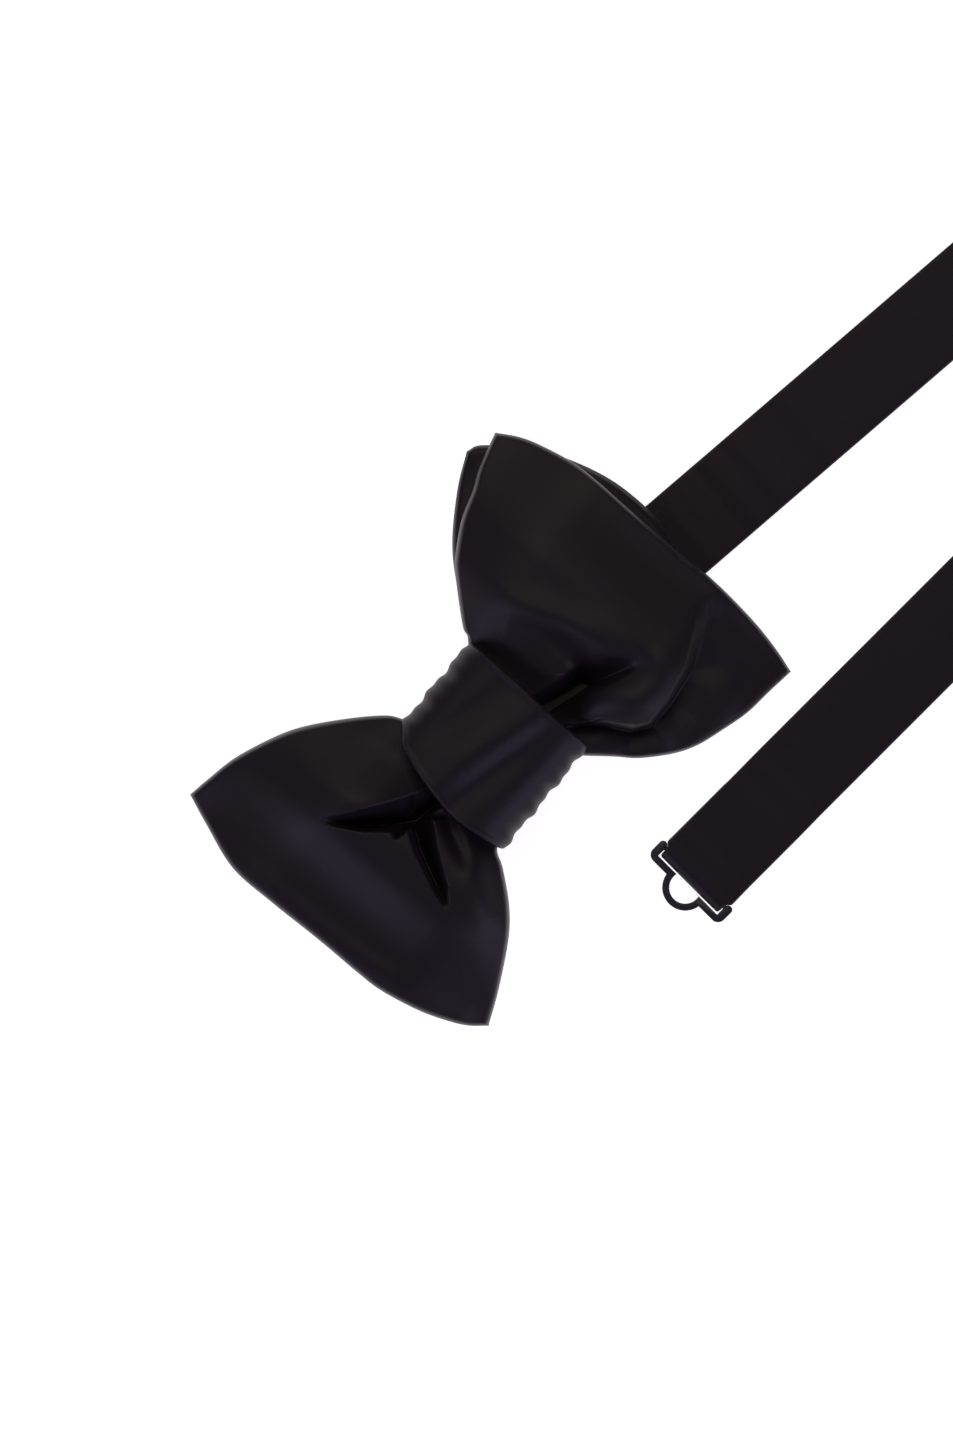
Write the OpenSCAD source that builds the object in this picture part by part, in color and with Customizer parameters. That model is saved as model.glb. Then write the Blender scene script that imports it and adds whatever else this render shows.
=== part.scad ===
// Pre-tied satin butterfly bow tie on an adjustable neckband with a hook and an eye.
// Millimetres. The bow lies face up: +X runs along the bow, +Y across it, +Z out of its front.
// The origin is under the knot, on the plane that the tie lies on.

/* [Bow] */
// Distance from the knot's centre to the far edges of the front wings
bow_reach = 66; // [55:0.5:80]
// Height of the front wings from tip to tip
wing_height = 94; // [78:0.5:113]
// Thickness of the front wings where they puff up most
wing_puff = 13; // [8:0.5:17]
// Thickness of the gathered front wings inside the knot
root_puff = 9; // [6:0.5:11]
// Thickness of the flat rear wings
rear_puff = 2.4; // [2:0.1:4]
// How far the wing tips droop towards the table
tip_droop = 6; // [3:0.5:6]
// How much further than the front wing the right rear wing shows
rear_show = 3.5; // [1:0.5:6]
// Thickness of the satin shells
skin = 0.4; // [0.3:0.05:0.5]
// Thickness of the interlining sheets in the wings
lining_t = 0.6; // [0.4:0.1:0.7]

/* [Knot] */
// Height of the knot, across the bow
knot_height = 39.6; // [37:0.1:48]
// Width of the knot's front, along the bow
knot_width = 33; // [29:0.5:38]
// Thickness of the folded satin wrap
wrap_t = 1.2; // [0.8:0.1:1.6]
// Thickness of the soft pad under the front of the wrap
filler_t = 5.2; // [3:0.2:8]

/* [Neckband] */
// Width of the band
band_w = 22.5; // [18:0.5:23]
// Thickness of the band
band_t = 1.4; // [1.2:0.1:1.8]
// How much narrower the band is drawn where it folds round a fitting
fold_draw = 2.3; // [1.9:0.1:4]
// Thickness of the band's satin shell
band_skin = 0.3; // [0.2:0.05:0.35]
// Angle that the band turns to under the right wing
band_bend = 9.6; // [0:0.2:16]
// Place along the bow where that bend is centred
bend_x = 47; // [46:0.5:56]
// Straight band between that bend and the turn at its far end
near_run = 160; // [130:1:200]
// Radius of the turn at the far end
turn_r = 26.1; // [22:0.5:40]
// Angle of that turn
turn_angle = 175.7; // [170:0.1:182]
// Straight band between the turn and the eye fitting
return_run = 199; // [170:1:240]
// Length of band over which it stands up on its edge
roll_run = 40; // [30:1:60]
// Length of band turned back under at the eye
turn_back = 22; // [14:1:30]

/* [Fittings] */
// Thickness of the hook and eye plates
plate_t = 1.2; // [0.9:0.1:1.4]
// Width of the bar outside the fold
bar_w = 1.8; // [1:0.1:2.2]
// Gap that shows between the fold and that bar
slit = 0.35; // [0.3:0.05:1]
// Width of the rounded lobes at both ends of a plate
lobe_w = 2.1; // [1.6:0.1:2.8]
// Inside radius of the eye's ring
ring_r = 4; // [3.4:0.1:5]
// Width of the eye's ring
ring_w = 1.75; // [1:0.05:2.2]
// Width of the hook's tongue
tongue_w = 5; // [3:0.1:6]
// Length of the hook's tongue
tongue_len = 9; // [7:0.5:12]
// Length of the adjuster slide along the band
slide_len = 11.6; // [10:0.2:14]
// Thickness of the adjuster slide's bars
slide_t = 1; // [0.8:0.1:1.2]
// Place of the hook's fold along the bow
hook_x = -47; // [-52:0.5:-44]
// Place of the adjuster slide's centre bar along the bow
slide_x = 30; // [28:0.5:32]

/* [Keeper] */
// Thickness of the keeper loop behind the knot
keeper_t = 0.8; // [0.6:0.1:1.2]
// Width of the keeper loop along the band
keeper_len = 12; // [8:0.5:12]
// Clearance between layers of cloth and at the fittings
gap = 0.3; // [0.25:0.05:0.4]
// Side clearance of the band in the keeper loop
keeper_play = 0.5; // [0.3:0.1:0.8]

/* [Hidden] */
keeper_x = -2;
thread_r = 0.3;
arc_fn = 48;
cloth_colour = "#1f191b";
lining_colour = "#cfc9bf";
thread_colour = "#171315";
metal_colour = "#26272e";

// Levels of the layers, from the table upwards
tail_z = keeper_t + gap + band_t / 2;
main_z = tail_z + band_t + gap;
keeper_top = main_z + band_t / 2 + gap + keeper_t;
wrap_z0 = keeper_top + gap + 0.2;
rear_z = wrap_z0 + wrap_t + gap;
front_z = rear_z + rear_puff + gap + 0.1;
filler_z = front_z + root_puff + gap;
wrap_z1 = filler_z + filler_t + gap + wrap_t;

// Fold of the band round a fitting's crossbar
fold_w = band_w - fold_draw;
cross_r = plate_t / 2;
fold_r = cross_r + gap + band_t / 2;
fold_out = fold_r + band_t / 2;
hook_z = tail_z - 0.75 + fold_r;
eye_z = band_t / 2 + fold_r;
bar_in = fold_out + slit;
bar_out = bar_in + bar_w;
slot_half = fold_w / 2 + gap;
plate_half = slot_half + lobe_w;
rail_back = 1.2;
taper_start = 0.2;
taper_end = 1.8;
taper_mid = (taper_start + taper_end) / 2;

bend_run = 14;
bend_r = band_bend > 0 ? bend_run / (band_bend * PI / 180) : 0;

// ---- Curves ----

function smooth(a, b, x) = let (k = max(0, min(1, (x - a) / (b - a)))) k * k * (3 - 2 * k);
function lerp(a, b, k) = a + (b - a) * k;
// Point on a cubic curve through p[0] and p[3], drawn towards p[1] and p[2]
function cubic(p, k) = let (m = 1 - k)
    m * m * m * p[0] + 3 * m * m * k * p[1] + 3 * m * k * k * p[2] + k * k * k * p[3];
// Point of the patch that four edge curves bound: u from root to far edge, v from bottom to top
function patch(edges, u, v) = let (bottom = edges[0], top = edges[1], far = edges[2],
        root = [bottom[0], lerp(bottom[0], top[0], 1 / 3), lerp(bottom[0], top[0], 2 / 3), top[0]])
    (1 - v) * cubic(bottom, u) + v * cubic(top, u) + (1 - u) * cubic(root, v) + u * cubic(far, v)
    - (1 - u) * (1 - v) * bottom[0] - u * (1 - v) * bottom[3] - (1 - u) * v * top[0] - u * v * top[3];

// Each four-cornered face as two triangles
function halved(quads) = [for (q = quads) each [[q[0], q[1], q[2]], [q[0], q[2], q[3]]]];

// ---- Wings ----

root_half = knot_height / 2 - wrap_t - 3.1;
kx = bow_reach / 66;
ky = wing_height / 94;

// Edge curves as [distance from the knot's centre, height]: bottom, top and far edge.
// The first points stay in the knot and the others follow the bow's size. The second ones
// pull in as the wings grow taller, so that the edges still leave the knot past its wrap.
function wing_edges(low1, low2, low3, far1, far2, top1, top2, top3, half = root_half) =
    let (fit = function(p) [p[0] * kx, p[1] * ky], pull = [0, 22 * (ky - 1)])
    [[[0.6, -half], low1 + pull, fit(low2), fit(low3)],
     [[0.6, half], top1 - pull, fit(top2), fit(top3)],
     [fit(low3), fit(far1), fit(far2), fit(top3)]];

left_front = wing_edges([30, -10.5], [28, -39], [55.6, -44.9], [67.5, -20], [68, 22],
    [23, 8.2], [16, 43], [57.6, 48.9]);
right_front = wing_edges([24, -10.5], [14, -42], [61, -46.8], [67.5, -28], [69.5, 30],
    [29, 10], [20, 42], [60.4, 47.8]);
left_rear = wing_edges([32, -8], [26, -34], [52, -40], [64, -18], [64, 20],
    [21.5, 9.2], [16, 38], [53, 44], root_half - 1);
right_rear = wing_edges([24, -9.5], [14, -36], [56, -40], [70 + rear_show, -26], [70 + rear_show, 24],
    [29, 9.5], [19, 44], [52.5, 50.4], root_half - 1);

// How far the wings have drooped at a height y across the bow
function droop(y) = tip_droop * smooth(knot_height / 2 - 2, wing_height / 2, abs(y));
// Thickness of a front wing at a point of its patch
function puff(x, u, v) = let (out = smooth(20, 34, x), w = 2 * v - 1)
    2.4 + lerp(root_puff - 2.4, (wing_puff - 2.4) * (1 - pow(u, 3)), out) * (1 - 0.85 * pow(w, 4));

// A closed sheet over a wing's patch. low and high are functions of (x, y, u, v) that give
// the heights of its two faces; inset keeps its edge inside the patch's edge.
module wing_sheet(edges, side, nu, nv, inset, low, high) {
    us = [for (i = [0:nu]) lerp(inset / bow_reach, 1 - inset / bow_reach, i / nu)];
    vs = [for (j = [0:nv]) lerp(inset / root_half / 2, 1 - inset / root_half / 2, j / nv)];
    face = function(level) [for (u = us) for (v = vs)
        let (p = patch(edges, u, v)) [p[0], p[1], level(p[0], p[1], u, v)]];
    row = nv + 1;
    n = (nu + 1) * row;
    quads = [for (i = [0:nu - 1]) for (j = [0:nv - 1])
        [i * row + j, i * row + j + 1, (i + 1) * row + j + 1, (i + 1) * row + j]];
    rim = concat([for (j = [0:nv]) j], [for (i = [1:nu]) i * row + nv],
        [for (j = [nv - 1:-1:0]) nu * row + j], [for (i = [nu - 1:-1:1]) i * row]);
    walls = [for (k = [0:len(rim) - 1]) let (a = rim[k], b = rim[(k + 1) % len(rim)])
        [a + n, b + n, b, a]];
    bases = [for (q = quads) [q[3] + n, q[2] + n, q[1] + n, q[0] + n]];
    mirror([side < 0 ? 1 : 0, 0, 0])
        polyhedron(points = concat(face(high), face(low)), faces = halved(concat(quads, walls, bases)),
            convexity = 6);
}

module front_shell(edges, side) {
    low = function(x, y, u, v) front_z - droop(y);
    high = function(x, y, u, v) front_z - droop(y) + puff(x, u, v);
    inner_low = function(x, y, u, v) low(x, y, u, v) + skin;
    inner_high = function(x, y, u, v) high(x, y, u, v) - skin;
    difference() {
        wing_sheet(edges, side, 14, 14, 0, low, high);
        wing_sheet(edges, side, 12, 12, 1, inner_low, inner_high);
    }
}

module front_lining(edges, side) {
    high = function(x, y, u, v) front_z - droop(y) + puff(x, u, v) - skin - 0.35;
    low = function(x, y, u, v) high(x, y, u, v) - lining_t;
    wing_sheet(edges, side, 10, 10, 2, low, high);
}

module rear_shell(edges, side) {
    low = function(x, y, u, v) rear_z - droop(y);
    high = function(x, y, u, v) rear_z - droop(y) + rear_puff;
    inner_low = function(x, y, u, v) low(x, y, u, v) + skin;
    inner_high = function(x, y, u, v) high(x, y, u, v) - skin;
    difference() {
        wing_sheet(edges, side, 8, 14, 0, low, high);
        wing_sheet(edges, side, 8, 14, 1, inner_low, inner_high);
    }
}

module rear_lining(edges, side) {
    low = function(x, y, u, v) rear_z - droop(y) + (rear_puff - lining_t) / 2;
    high = function(x, y, u, v) low(x, y, u, v) + lining_t;
    wing_sheet(edges, side, 8, 14, 2, low, high);
}

module front_wing_left() { color(cloth_colour) front_shell(left_front, -1); }
module front_wing_right() { color(cloth_colour) front_shell(right_front, 1); }
module rear_wing_left() { color(cloth_colour) rear_shell(left_rear, -1); }
module rear_wing_right() { color(cloth_colour) rear_shell(right_rear, 1); }
module front_interlining_left() { color(lining_colour) front_lining(left_front, -1); }
module front_interlining_right() { color(lining_colour) front_lining(right_front, 1); }
module rear_interlining_left() { color(lining_colour) rear_lining(left_rear, -1); }
module rear_interlining_right() { color(lining_colour) rear_lining(right_rear, 1); }

// ---- Knot ----

// Stands a profile drawn as [y, z] up and runs it along X
module along_x(x0, x1) {
    translate([x0, 0, 0]) rotate([90, 0, 90]) linear_extrude(height = x1 - x0) children();
}

// Section of the knot: flat at the back and crowned in front
module knot_section(half, z0, z1, back_r, crown) {
    side_z = z1 - crown;
    rows = 16;
    polygon(concat(
        [for (k = [0:4]) let (a = 180 + 90 * k / 4)
            [-half + back_r + back_r * cos(a), z0 + back_r + back_r * sin(a)]],
        [for (k = [0:4]) let (a = 270 + 90 * k / 4)
            [half - back_r + back_r * cos(a), z0 + back_r + back_r * sin(a)]],
        [for (k = [0:rows]) let (a = 180 * k / rows, c = cos(a), s = sin(a))
            [half * sign(c) * pow(abs(c), 0.62), side_z + crown * pow(s, 0.62)]]));
}

// Plan of the knot: bulging on the left, nearly straight on the right
module knot_plan() {
    half = knot_height / 2 + 1;
    right = knot_width / 2 - 0.8;
    left = knot_width / 2 + 2.6;
    left_edge = [[6 - left, half], [-4.8 - left, 7], [-left - 1.2, -4], [-left, -half]];
    polygon(concat([[right, half]], [for (k = [0:10]) cubic(left_edge, k / 10)],
        [[right - 2, -half], [right - 0.8, -half / 2]]));
}

module knot_wrap() {
    color(cloth_colour)
        intersection() {
            translate([0, 0, wrap_z0 - 1]) linear_extrude(height = wrap_z1 - wrap_z0 + 2) knot_plan();
            along_x(-knot_width, knot_width)
                difference() {
                    knot_section(knot_height / 2, wrap_z0, wrap_z1, 2, 9);
                    knot_section(knot_height / 2 - wrap_t, wrap_z0 + wrap_t, wrap_z1 - wrap_t, 0.8, 8.4);
                }
        }
}

module knot_filler() {
    color(lining_colour)
        along_x(8 - knot_width / 2, knot_width / 2 - 4)
            difference() {
                knot_section(knot_height / 2 - 7, filler_z - filler_t, filler_z + filler_t, 0.8, filler_t);
                translate([-knot_height, filler_z - 2 * filler_t])
                    square([2 * knot_height, 2 * filler_t]);
            }
}

module knot_seam_stitches() {
    seam_y = knot_height / 2 - 4;
    color(thread_colour)
        for (x = [-12:4:8])
            translate([x, seam_y, wrap_z0]) rotate([0, 90, 0])
                cylinder(r = thread_r, h = 2.4, $fn = 16);
}

// ---- Keeper loop on the back of the knot ----

keeper_half = band_w / 2 + keeper_play;

module keeper_loop() {
    color(cloth_colour)
        along_x(keeper_x - keeper_len / 2, keeper_x + keeper_len / 2)
            difference() {
                translate([-keeper_half - keeper_t, 0]) square([2 * (keeper_half + keeper_t), keeper_top]);
                translate([-keeper_half, keeper_t]) square([2 * keeper_half, keeper_top - 2 * keeper_t]);
            }
}

module keeper_stitches() {
    color(thread_colour)
        for (x = [-1, 1], y = [-3:2:3])
            translate([keeper_x + x * keeper_len / 3, y * band_w / 8, keeper_top - keeper_t / 2])
                cylinder(r = thread_r, h = wrap_z0 - keeper_top + keeper_t / 2 + wrap_t / 2, $fn = 16);
}

// ---- Neckband ----

// A station of the band is [centre, side vector, face vector, width].
function flat_side(h) = [-sin(h), cos(h), 0];
function ahead(h) = [cos(h), sin(h), 0];
function rolled(p, h, roll, w) =
    [[p[0], p[1], p[2]], cos(roll) * flat_side(h) + [0, 0, sin(roll)],
     cross(ahead(h), cos(roll) * flat_side(h) + [0, 0, sin(roll)]), w];
// Height of the centre of a band that rests on the table, rolled by an angle
function rest_z(roll) = sin(roll) * band_w / 2 + cos(roll) * band_t / 2;
function fold_width(x) = lerp(fold_w, band_w, smooth(taper_start, taper_end, x));

bend_start = bend_x - bend_run / 2;
bend_end = [bend_start + bend_r * sin(band_bend), -bend_r * (1 - cos(band_bend))];
down_start = 15;
down_end = 42;
turn_start = bend_end + near_run * [cos(band_bend), -sin(band_bend)];
turn_centre = turn_start + turn_r * [-sin(band_bend), -cos(band_bend)];
return_heading = -band_bend - turn_angle;
turn_end = turn_centre + turn_r * [flat_side(return_heading)[0], flat_side(return_heading)[1]];
eye_pivot = turn_end + return_run * [cos(return_heading), sin(return_heading)];
apex_angle = turn_angle / 2;
apex = turn_centre + turn_r * [sin(band_bend + apex_angle), cos(band_bend + apex_angle)];
apex_gap = 1.5;
half_gap_angle = apex_gap / 2 / turn_r * 180 / PI;

// Round a crossbar at [x, z], turning about Y, from the outside face's angle a0 to a1
function fold_stations(x, z, a0, a1, n) = [for (k = [0:n]) let (a = lerp(a0, a1, k / n))
    [[x + fold_r * cos(a), 0, z + fold_r * sin(a)], [0, 1, 0], [cos(a), 0, sin(a)], fold_w]];

near_stations = concat(
    [for (x = [taper_end, taper_mid, taper_start])
        [[hook_x + x, 0, hook_z - fold_r], [0, 1, 0], [0, 0, -1], fold_width(x)]],
    fold_stations(hook_x, hook_z, 270, 90, 8),
    [for (x = [taper_start, taper_mid, taper_end, 5, 9])
        rolled([hook_x + x, 0, lerp(hook_z + fold_r, main_z, smooth(0, 9, x))], 0, 0, fold_width(x))],
    [rolled([0, 0, main_z], 0, 0, band_w)],
    [for (k = [0:4]) let (a = band_bend * k / 4)
        rolled([bend_start + bend_r * sin(a), -bend_r * (1 - cos(a)), main_z], -a, 0, band_w)],
    [for (k = [0:6]) let (s = lerp(down_start, down_end, k / 6), p = bend_end + s * [cos(band_bend), -sin(band_bend)])
        rolled([p[0], p[1], lerp(main_z, band_t / 2, smooth(down_start, down_end, s))], -band_bend, 0, band_w)],
    [for (k = [0:8]) let (roll = 90 * smooth(0, 1, k / 8), s = near_run - roll_run * (1 - k / 8),
            p = bend_end + s * [cos(band_bend), -sin(band_bend)])
        rolled([p[0], p[1], rest_z(roll)], -band_bend, roll, band_w)],
    turn_stations(2, apex_angle - half_gap_angle, 12));

function turn_stations(a0, a1, n) = [for (k = [0:n]) let (a = lerp(a0, a1, k / n),
        p = turn_centre + turn_r * [sin(band_bend + a), cos(band_bend + a)])
    rolled([p[0], p[1], band_w / 2], -band_bend - a, 90, band_w)];

// Where the return strand's centre runs, at a distance x from the eye's crossbar
function return_point(x) = eye_pivot - x * [cos(return_heading), sin(return_heading)];
lap_z = band_t * 1.5 + gap;
function lap_height(x) = lerp(lerp(eye_z + fold_r, lap_z, smooth(0, 9, x)), band_t / 2,
    smooth(turn_back + 2, turn_back + 12, x));
function return_station(x) = let (p = return_point(x))
    rolled([p[0], p[1], lap_height(x)], return_heading, 0, fold_width(x));

far_stations = concat(
    turn_stations(apex_angle + half_gap_angle, turn_angle - 2, 12),
    [for (k = [0:8]) let (roll = 90 * (1 - smooth(0, 1, k / 8)),
            p = turn_end + roll_run * k / 8 * [cos(return_heading), sin(return_heading)])
        rolled([p[0], p[1], rest_z(roll)], return_heading, roll, band_w)],
    [for (k = [5:-1:0]) return_station(turn_back + 2 + 2 * k)],
    [for (x = [9, 7, 5, 3, taper_end, taper_mid, taper_start]) return_station(x)],
    [for (k = [0:8]) let (a = 90 - 180 * k / 8, out = fold_r * cos(a), p = return_point(-out))
        [[p[0], p[1], eye_z + fold_r * sin(a)], flat_side(return_heading),
         cos(a) * ahead(return_heading) + [0, 0, sin(a)], fold_w]],
    [for (x = [taper_start, taper_mid, taper_end, turn_back]) let (p = return_point(x))
        [[p[0], p[1], band_t / 2], flat_side(return_heading), [0, 0, -1], fold_width(x)]]);

// Corners of the band's flat section at a station, of thickness t and trimmed at its edges
function section(s, trim = 0, t = band_t) = let (h = s[3] / 2 - trim, c = t * 0.3)
    [for (q = [[h, c - t / 2], [h, t / 2 - c], [h - c, t / 2], [c - h, t / 2],
               [-h, t / 2 - c], [-h, c - t / 2], [c - h, -t / 2], [h - c, -t / 2]])
        s[0] + q[0] * s[1] + q[1] * s[2]];
// Faces round n sections in a row, whose corners start at point number first. The front and
// the back start from opposite corners, so that they are halved along the same diagonal.
function sleeve(first, n) = [for (i = [0:n - 2]) for (j = [0:7]) let (m = (j + 1) % 8, k = first + i * 8)
    j < 4 ? [k + j, k + j + 8, k + m + 8, k + m] : [k + j + 8, k + m + 8, k + m, k + j]];
function cap(first) = [for (j = [0:7]) first + j];
// The same face seen from its other side, from the same first corner
function turned(face) = [for (j = [0:len(face) - 1]) face[(len(face) - j) % len(face)]];

// A sewn tube of satin along the stations: open at the first, closed at the last
module satin_tube(list) {
    n = len(list);
    lined = [for (k = [0:n - 2]) section(list[k], band_skin, band_t - 2 * band_skin)];
    inner = 8 * n;
    lip = [for (j = [0:7]) let (m = (j + 1) % 8) [j, m, inner + m, inner + j]];
    polyhedron(
        points = concat([for (s = list) each section(s)], [for (s = lined) each s]),
        faces = concat(halved(concat(sleeve(0, n), lip, [for (f = sleeve(inner, n - 1)) turned(f)])),
            [turned(cap(inner - 8)), cap(inner + 8 * (n - 2))]),
        convexity = 8);
}

// The strip of interlining inside a tube
module inner_band(list) {
    n = len(list) - 2;
    strip = [for (k = [1:n]) section(list[k], 2 * band_skin, (band_t - 2 * band_skin) * 0.6)];
    polyhedron(points = [for (s = strip) each s],
        faces = concat([cap(0)], halved(sleeve(0, n)), [turned(cap(8 * (n - 1)))]), convexity = 8);
}

module neckband_near() { color(cloth_colour) satin_tube(near_stations); }
module neckband_far() { color(cloth_colour) satin_tube(far_stations); }
module near_interlining() { color(lining_colour) inner_band(near_stations); }
module far_interlining() { color(lining_colour) inner_band(far_stations); }

module eye_bartack() {
    place = return_point(turn_back - 4);
    color(thread_colour)
        for (y = [-3:1:3])
            translate([place[0], place[1], 0.1] + y * band_w / 9 * flat_side(return_heading))
                cylinder(r = thread_r * 0.8, h = lap_z + 0.4, $fn = 16);
}

// ---- Tail, adjuster and hook ----

// Stands a profile drawn as [x, z] up and runs it across the band, centred
module across(w) {
    translate([0, w / 2, 0]) rotate([90, 0, 0]) linear_extrude(height = w) children();
}

centre_bar_r = 0.45;
centre_bar_z = tail_z - 0.3;
loop_r = centre_bar_r + 0.1;

module band_tail() {
    start = hook_x + taper_end + 0.3;
    flare = 6;
    low = hook_z - fold_r;
    n = 6;
    end = slide_x - loop_r - 0.1;
    ramp = [for (k = [0:n]) [start + flare * k / n, lerp(low, tail_z, smooth(0, 1, k / n))]];
    color(cloth_colour)
        difference() {
            union() {
                across(band_w)
                    polygon(concat([for (p = ramp) p + [0, band_t / 2]],
                        [[end, tail_z + band_t / 2], [end, tail_z - band_t / 2]],
                        [for (k = [n:-1:0]) ramp[k] - [0, band_t / 2]]));
                translate([slide_x, 0, centre_bar_z]) rotate([90, 0, 0])
                    cylinder(r = loop_r + 0.4, h = band_w, center = true, $fn = arc_fn);
            }
            translate([slide_x, 0, centre_bar_z]) rotate([90, 0, 0])
                cylinder(r = loop_r, h = band_w + 1, center = true, $fn = arc_fn);
        }
}

module adjuster_bartack() {
    color(thread_colour)
        for (y = [-3:1:3])
            translate([slide_x - 5, y * band_w / 9, tail_z - band_t / 2 + 0.1])
                cylinder(r = thread_r * 0.8, h = band_t - 0.2, $fn = 16);
}

slide_in = band_w / 2 + gap;
slide_rail = 1.2;
slide_z0 = main_z + band_t / 2 + gap;

module adjuster_slide() {
    color(metal_colour)
        translate([slide_x, 0, 0])
            union() {
                for (side = [-1, 1]) {
                    translate([side * (slide_len / 2 - 0.7) - 0.7, -slide_in - slide_rail, slide_z0])
                        cube([1.4, 2 * (slide_in + slide_rail), slide_t]);
                    translate([0, side * (slide_in + slide_rail / 2), 0])
                        across(slide_rail)
                            polygon([[-slide_len / 2, slide_z0 + slide_t], [-slide_len / 2, slide_z0],
                                [-3, slide_z0], [-1, centre_bar_z - centre_bar_r],
                                [1, centre_bar_z - centre_bar_r], [3, slide_z0],
                                [slide_len / 2, slide_z0], [slide_len / 2, slide_z0 + slide_t]]);
                }
                translate([0, 0, centre_bar_z]) rotate([90, 0, 0])
                    cylinder(r = centre_bar_r, h = 2 * slide_in + slide_rail, center = true, $fn = arc_fn);
            }
}

// Outline of a slotted plate on its crossbar's axis, with the fold's slot cut out
module plate_outline() {
    difference() {
        union() {
            translate([-bar_out, -slot_half]) square([bar_w, 2 * slot_half]);
            for (side = [-1, 1]) {
                translate([lobe_w - bar_out, side * slot_half]) circle(r = lobe_w, $fn = arc_fn);
                translate([lobe_w - bar_out, side * (slot_half + lobe_w / 2) - lobe_w / 2])
                    square([bar_out - lobe_w + rail_back - lobe_w / 2, lobe_w]);
                translate([rail_back - lobe_w / 2, side * (slot_half + lobe_w / 2)])
                    circle(r = lobe_w / 2, $fn = arc_fn);
            }
        }
        translate([-bar_in, -slot_half]) square([bar_in + rail_back + 1, 2 * slot_half]);
    }
}

module crossbar() {
    rotate([90, 0, 0]) cylinder(r = cross_r, h = 2 * slot_half + lobe_w, center = true, $fn = arc_fn);
}

module hook_plate() {
    curl = 1.15;
    tongue_t = 1;
    tip = bar_out + tongue_len - curl;
    color(metal_colour)
        translate([hook_x, 0, hook_z])
            union() {
                translate([0, 0, -plate_t / 2]) linear_extrude(height = plate_t) plate_outline();
                crossbar();
                across(tongue_w) {
                    translate([-tip, -tongue_t / 2]) square([tip - bar_in, tongue_t]);
                    translate([-tip, 2 * curl - tongue_t / 2]) square([5, tongue_t]);
                    translate([-tip, curl])
                        difference() {
                            circle(r = curl + tongue_t / 2, $fn = arc_fn);
                            circle(r = curl - tongue_t / 2, $fn = arc_fn);
                            translate([0, -2 * curl]) square([2 * curl, 4 * curl]);
                        }
                }
            }
}

ring_x = -fold_out - 1.2;

module eye_plate() {
    color(metal_colour)
        translate([eye_pivot[0], eye_pivot[1], eye_z])
            rotate([0, 0, return_heading + 180])
                union() {
                    translate([0, 0, -plate_t / 2])
                        linear_extrude(height = plate_t)
                            difference() {
                                union() {
                                    plate_outline();
                                    difference() {
                                        translate([ring_x, 0]) circle(r = ring_r + ring_w, $fn = 2 * arc_fn);
                                        translate([-bar_in, -2 * ring_r])
                                            square([4 * ring_r, 4 * ring_r]);
                                    }
                                }
                                translate([ring_x, 0]) circle(r = ring_r, $fn = 2 * arc_fn);
                            }
                    crossbar();
                }
}

echo(apex = apex, eye_pivot = eye_pivot, eye_z = eye_z, hook_z = hook_z, heading = return_heading);
echo(levels = [tail_z, main_z, keeper_top, wrap_z0, rear_z, front_z, filler_z, wrap_z1]);

front_wing_left();
front_wing_right();
rear_wing_left();
rear_wing_right();
front_interlining_left();
front_interlining_right();
rear_interlining_left();
rear_interlining_right();
knot_wrap();
knot_filler();
knot_seam_stitches();
keeper_loop();
keeper_stitches();
neckband_near();
near_interlining();
neckband_far();
far_interlining();
eye_bartack();
band_tail();
adjuster_slide();
adjuster_bartack();
hook_plate();
eye_plate();
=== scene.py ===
"""Black satin butterfly bow tie, laid face up with its neckband looped beside it.

Lengths in the tables and functions below are millimetres in the frame's own axes: +X along
the bow, +Y across it, +Z out of its front. MM turns them to metres.
"""
import math

import bpy
import numpy as np
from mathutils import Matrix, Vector


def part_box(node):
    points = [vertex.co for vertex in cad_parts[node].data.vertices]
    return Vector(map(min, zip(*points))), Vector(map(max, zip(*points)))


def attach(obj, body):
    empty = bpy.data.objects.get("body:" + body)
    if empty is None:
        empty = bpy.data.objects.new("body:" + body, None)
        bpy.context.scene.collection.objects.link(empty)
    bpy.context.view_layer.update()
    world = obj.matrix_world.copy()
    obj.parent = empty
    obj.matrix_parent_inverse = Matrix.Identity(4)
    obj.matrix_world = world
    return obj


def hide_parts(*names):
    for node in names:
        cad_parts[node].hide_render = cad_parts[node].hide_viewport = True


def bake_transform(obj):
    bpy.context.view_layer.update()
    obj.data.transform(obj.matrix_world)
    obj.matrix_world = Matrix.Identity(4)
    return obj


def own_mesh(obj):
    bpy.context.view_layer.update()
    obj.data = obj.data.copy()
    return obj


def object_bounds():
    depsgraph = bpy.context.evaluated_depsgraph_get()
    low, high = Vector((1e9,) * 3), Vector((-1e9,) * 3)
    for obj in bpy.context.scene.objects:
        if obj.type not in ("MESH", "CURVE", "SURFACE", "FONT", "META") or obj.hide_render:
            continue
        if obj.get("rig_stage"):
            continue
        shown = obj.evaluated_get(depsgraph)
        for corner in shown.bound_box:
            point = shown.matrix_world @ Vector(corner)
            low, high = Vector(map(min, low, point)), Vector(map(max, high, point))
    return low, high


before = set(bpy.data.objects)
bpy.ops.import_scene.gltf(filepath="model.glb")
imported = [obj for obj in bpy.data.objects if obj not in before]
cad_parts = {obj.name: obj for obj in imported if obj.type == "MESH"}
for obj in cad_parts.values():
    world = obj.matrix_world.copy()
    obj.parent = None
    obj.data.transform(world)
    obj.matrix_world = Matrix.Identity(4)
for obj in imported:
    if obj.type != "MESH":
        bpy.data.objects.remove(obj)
cad_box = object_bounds()
MM = 0.001


# ---------------------------------------------------------------- small helpers

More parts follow.
